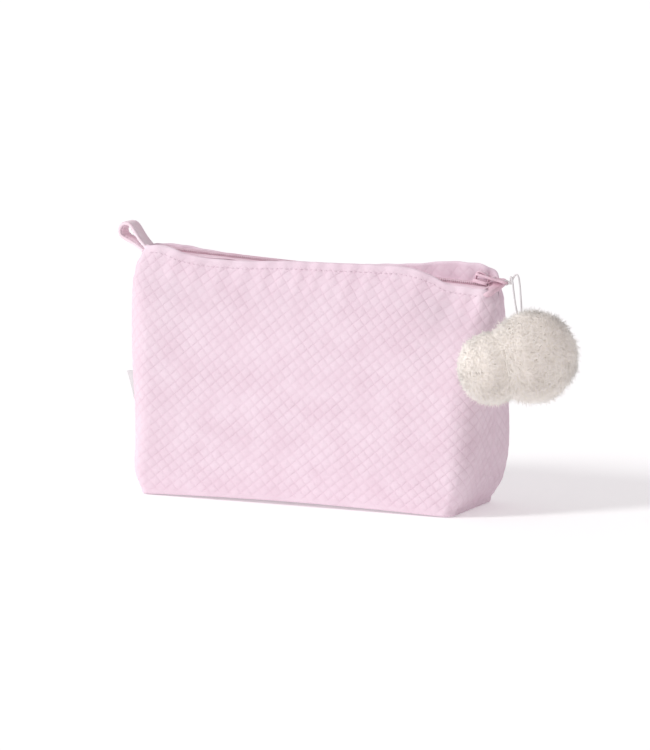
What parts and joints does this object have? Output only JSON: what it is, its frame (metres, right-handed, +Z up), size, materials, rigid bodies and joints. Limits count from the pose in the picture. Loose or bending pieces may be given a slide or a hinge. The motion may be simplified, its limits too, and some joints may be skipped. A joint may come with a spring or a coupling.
{
  "type": "makeup bag",
  "caption": "Zipped makeup bag in pale pink quilted knit, with a boxed base, a carry loop and a fur pompom on the zip pull",
  "frame": {"origin": "on the floor, at the centre of the base", "axes": "+X along the zip to its closed end, -Y the front, +Z up"},
  "size_m": [0.3057, 0.108, 0.1626],
  "materials": {
    "quilted_fabric": "pale pink knit embossed with a small diamond quilt",
    "wadding": "white polyester wadding",
    "lining": "plain pink woven lining",
    "zip_tape": "pink woven zip tape",
    "zip_coil": "pink nylon coil",
    "plain_fabric": "smooth plain pink fabric, folded and sewn",
    "pink_enamel": "pink enamel on cast zinc",
    "elastic_cord": "thin white elastic cord",
    "faux_fur": "soft cream faux fur",
    "label_tape": "blank white satin label"
  },
  "bodies": {
    "bag": {"front_panel": "quilted_fabric", "back_panel": "quilted_fabric", "base_panel": "quilted_fabric", "front_wadding": "wadding", "back_wadding": "wadding", "base_wadding": "wadding", "front_lining": "lining", "back_lining": "lining", "base_lining": "lining", "front_tape": "zip_tape", "back_tape": "zip_tape", "front_coil": "zip_coil", "back_coil": "zip_coil", "left_end_tab": "plain_fabric", "right_end_tab": "plain_fabric", "side_label": "label_tape"},
    "slider": {"slider_body": "pink_enamel"},
    "pull": {"pull_tab": "pink_enamel"},
    "hitch": {"cord_hitch": "elastic_cord"},
    "pompom": {"pom_cord": "elastic_cord", "pom_fur": "faux_fur", "pom_stuffing": "wadding"},
    "loop": {"carry_loop": "plain_fabric"}
  },
  "joints": [
    {"name": "zip_slide", "type": "slide", "parent": "bag", "child": "slider", "axis": [0.9986, 0, -0.0523], "range_m": [-0.2, 0]},
    {"name": "pull_tab_hinge", "type": "hinge", "parent": "slider", "child": "pull", "pos_m": [0.10658, 0, 0.14263], "axis": [0, 1, 0], "range_deg": [-120, 0]},
    {"name": "pompom_hang", "type": "hinge", "parent": "pull", "child": "hitch", "pos_m": [0.12423, 0, 0.13822], "axis": [0, 1, 0], "range_deg": [0, 120]},
    {"name": "pompom_swing", "type": "hinge", "parent": "hitch", "child": "pompom", "pos_m": [0.1269, 0, 0.1384], "axis": [1, 0, 0], "range_deg": [-40, 0]},
    {"name": "loop_flop", "type": "hinge", "parent": "bag", "child": "loop", "pos_m": [-0.1185, 0, 0.1515], "axis": [0, 1, 0], "range_deg": [-20, 20], "stiffness_Nm_per_rad": 0.002}
  ],
  "couplings": [
    {"joint": "pompom_hang", "follows": "pull_tab_hinge", "ratio": -1}
  ]
}
